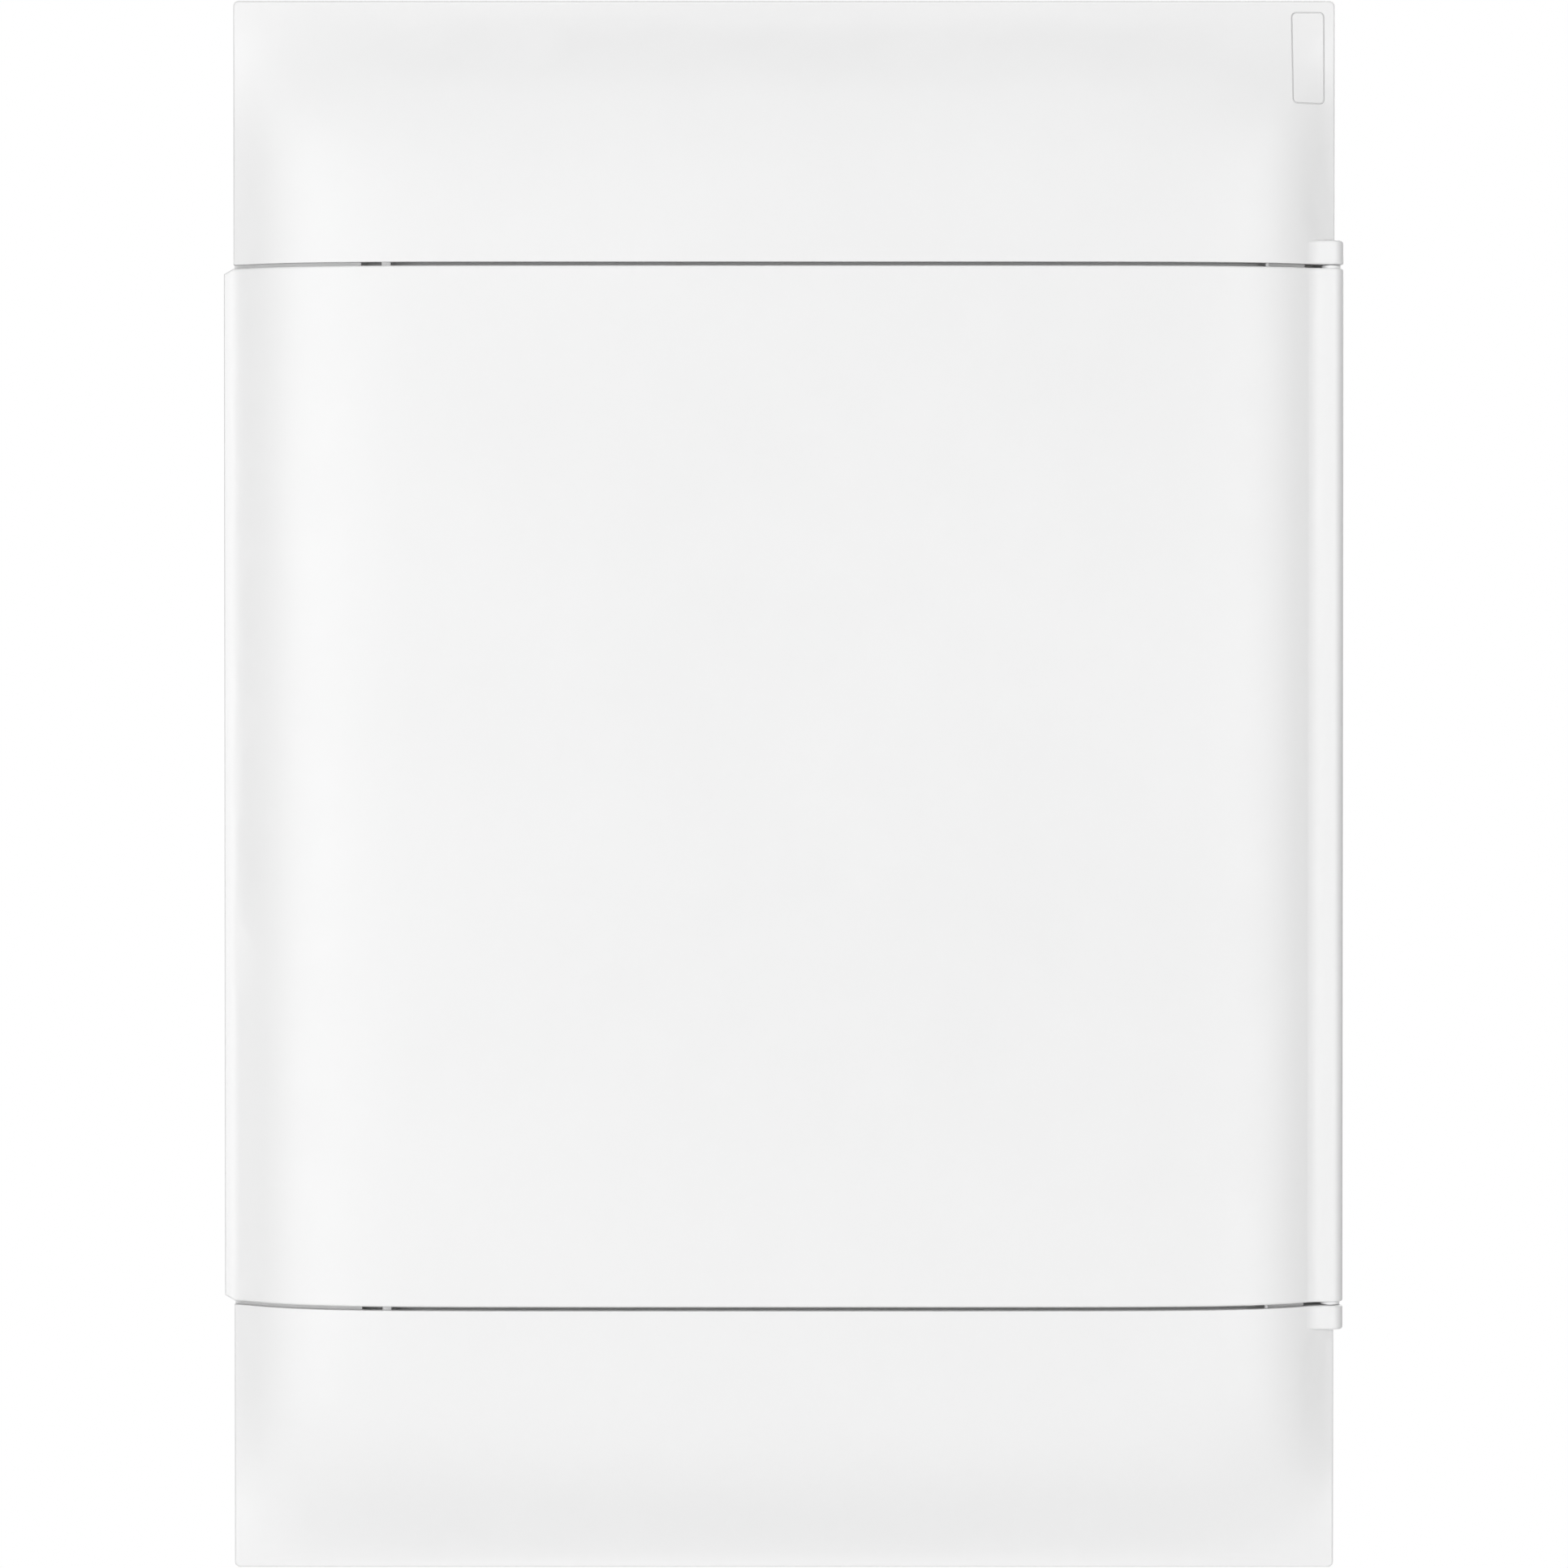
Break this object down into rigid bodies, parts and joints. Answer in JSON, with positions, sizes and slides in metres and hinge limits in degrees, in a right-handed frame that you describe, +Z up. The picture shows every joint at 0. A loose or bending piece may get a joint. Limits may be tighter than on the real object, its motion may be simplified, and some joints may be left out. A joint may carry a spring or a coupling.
{
  "type": "distribution board enclosure",
  "caption": "White wall-mounted electrical distribution board enclosure with a hinged opaque door, lift-off front cover and DIN rails for modular devices.",
  "frame": {"origin": "centre of the four wall-fixing slots, on the wall plane", "axes": "+X to the right seen from the front, +Y into the wall, +Z up; the front faces -Y"},
  "size_m": [0.4241, 0.104, 0.594],
  "materials": {
    "white_cover": "satin moulded ABS",
    "white_door": "satin moulded ABS",
    "white_clip": "smooth moulded plastic",
    "grey_box": "satin moulded ABS",
    "white_entry": "satin moulded ABS",
    "zinc_steel": "zinc plated sheet",
    "pin_steel": "ground",
    "support_plastic": "satin",
    "terminal_brass": "drawn bar",
    "terminal_screw_steel": "plated",
    "earth_green": "satin",
    "neutral_blue": "satin",
    "white_blank": "fine texture",
    "label_paper": "uncoated card",
    "label_clear": "clear",
    "fastener_grey": "satin"
  },
  "bodies": {
    "enclosure": {"back_box": "grey_box", "back_panel": "grey_box", "cover_posts": "grey_box", "chassis_spacers": "grey_box", "cable_entry_plate_top": "white_entry", "cable_entry_plate_bottom": "white_entry", "upright_left": "zinc_steel", "upright_right": "zinc_steel", "din_rail_1": "zinc_steel", "din_rail_2": "zinc_steel", "din_rail_3": "zinc_steel", "rail_screws": "zinc_steel", "chassis_screws": "zinc_steel", "terminal_support_top": "support_plastic", "terminal_support_bottom": "support_plastic", "earth_bar": "terminal_brass", "earth_bar_holders": "earth_green", "earth_bar_screws": "terminal_screw_steel", "neutral_bar": "terminal_brass", "neutral_bar_holders": "neutral_blue", "neutral_bar_screws": "terminal_screw_steel"},
    "front_cover": {"front_cover": "white_cover", "blanking_plate_1": "white_blank", "blanking_plate_2": "white_blank", "blanking_plate_3": "white_blank", "label_card_1": "label_paper", "label_card_2": "label_paper", "label_card_3": "label_paper", "label_holder_1": "label_clear", "label_holder_2": "label_clear", "label_holder_3": "label_clear", "hinge_pin_top": "pin_steel", "hinge_pin_bottom": "pin_steel", "catch_socket": "white_clip"},
    "door": {"door": "white_door", "catch_tongue": "white_clip"},
    "fastener_1": {"cover_fastener_1": "fastener_grey"},
    "fastener_2": {"cover_fastener_2": "fastener_grey"},
    "fastener_3": {"cover_fastener_3": "fastener_grey"},
    "fastener_4": {"cover_fastener_4": "fastener_grey"}
  },
  "joints": [
    {"name": "cover_lift_off", "type": "slide", "parent": "enclosure", "child": "front_cover", "axis": [0, -1, 0], "range_m": [0, 0.12]},
    {"name": "door_hinge", "type": "hinge", "parent": "front_cover", "child": "door", "pos_m": [0.2072, -0.0828, 0], "axis": [0, 0, 1], "range_deg": [0, 180]},
    {"name": "fastener_turn_1", "type": "hinge", "parent": "front_cover", "child": "fastener_1", "pos_m": [-0.134, -0.072, -0.1895], "axis": [0, 1, 0], "range_deg": [0, 90]},
    {"name": "fastener_turn_2", "type": "hinge", "parent": "front_cover", "child": "fastener_2", "pos_m": [-0.134, -0.072, 0.1895], "axis": [0, 1, 0], "range_deg": [0, 90]},
    {"name": "fastener_turn_3", "type": "hinge", "parent": "front_cover", "child": "fastener_3", "pos_m": [0.134, -0.072, -0.1895], "axis": [0, 1, 0], "range_deg": [0, 90]},
    {"name": "fastener_turn_4", "type": "hinge", "parent": "front_cover", "child": "fastener_4", "pos_m": [0.134, -0.072, 0.1895], "axis": [0, 1, 0], "range_deg": [0, 90]}
  ]
}
